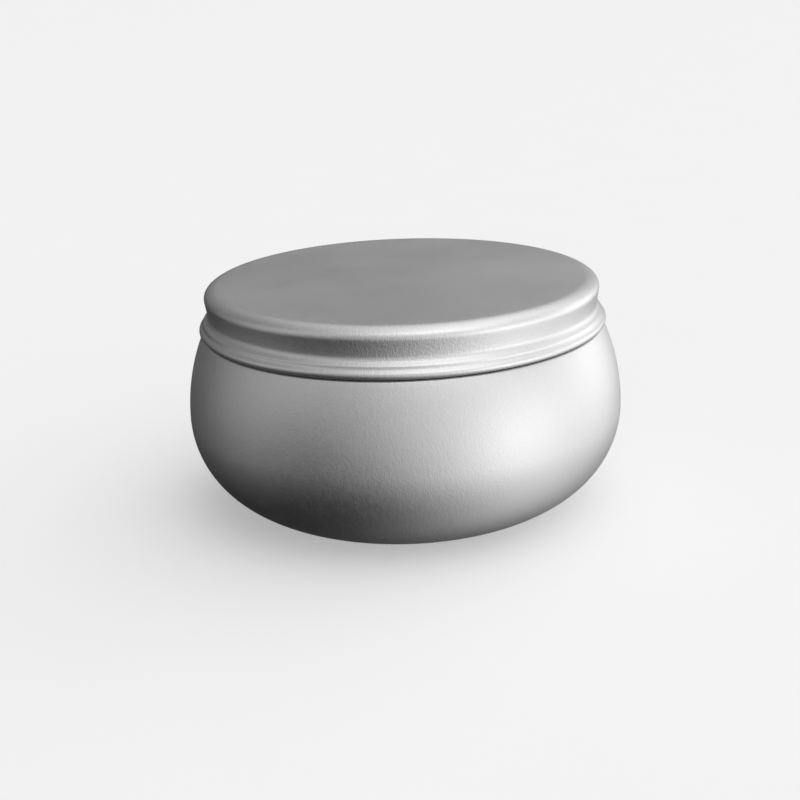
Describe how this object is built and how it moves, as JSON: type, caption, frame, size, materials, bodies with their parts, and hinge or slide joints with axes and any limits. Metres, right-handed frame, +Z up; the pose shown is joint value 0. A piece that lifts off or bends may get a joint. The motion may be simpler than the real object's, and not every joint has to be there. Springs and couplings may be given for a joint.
{
  "type": "candle tin",
  "caption": "Pot-bellied round aluminium tin with a lift-off slip lid, for pouring, storing and burning a container candle.",
  "frame": {"origin": "centre of the base, on the surface that the tin stands on", "axes": "+Z up along the tin's axis, which the lid lifts along; the tin is round, so X and Y are any two level directions"},
  "size_m": [0.09, 0.09, 0.0472],
  "materials": {
    "body_aluminium": "satin, fine matt grain",
    "lid_aluminium": "satin, fine matt grain"
  },
  "bodies": {
    "tin": {"tin_body": "body_aluminium"},
    "lid": {"lid": "lid_aluminium"}
  },
  "joints": [
    {"name": "lid_lift", "type": "slide", "parent": "tin", "child": "lid", "axis": [0, 0, 1], "range_m": [0, 0.04]}
  ]
}
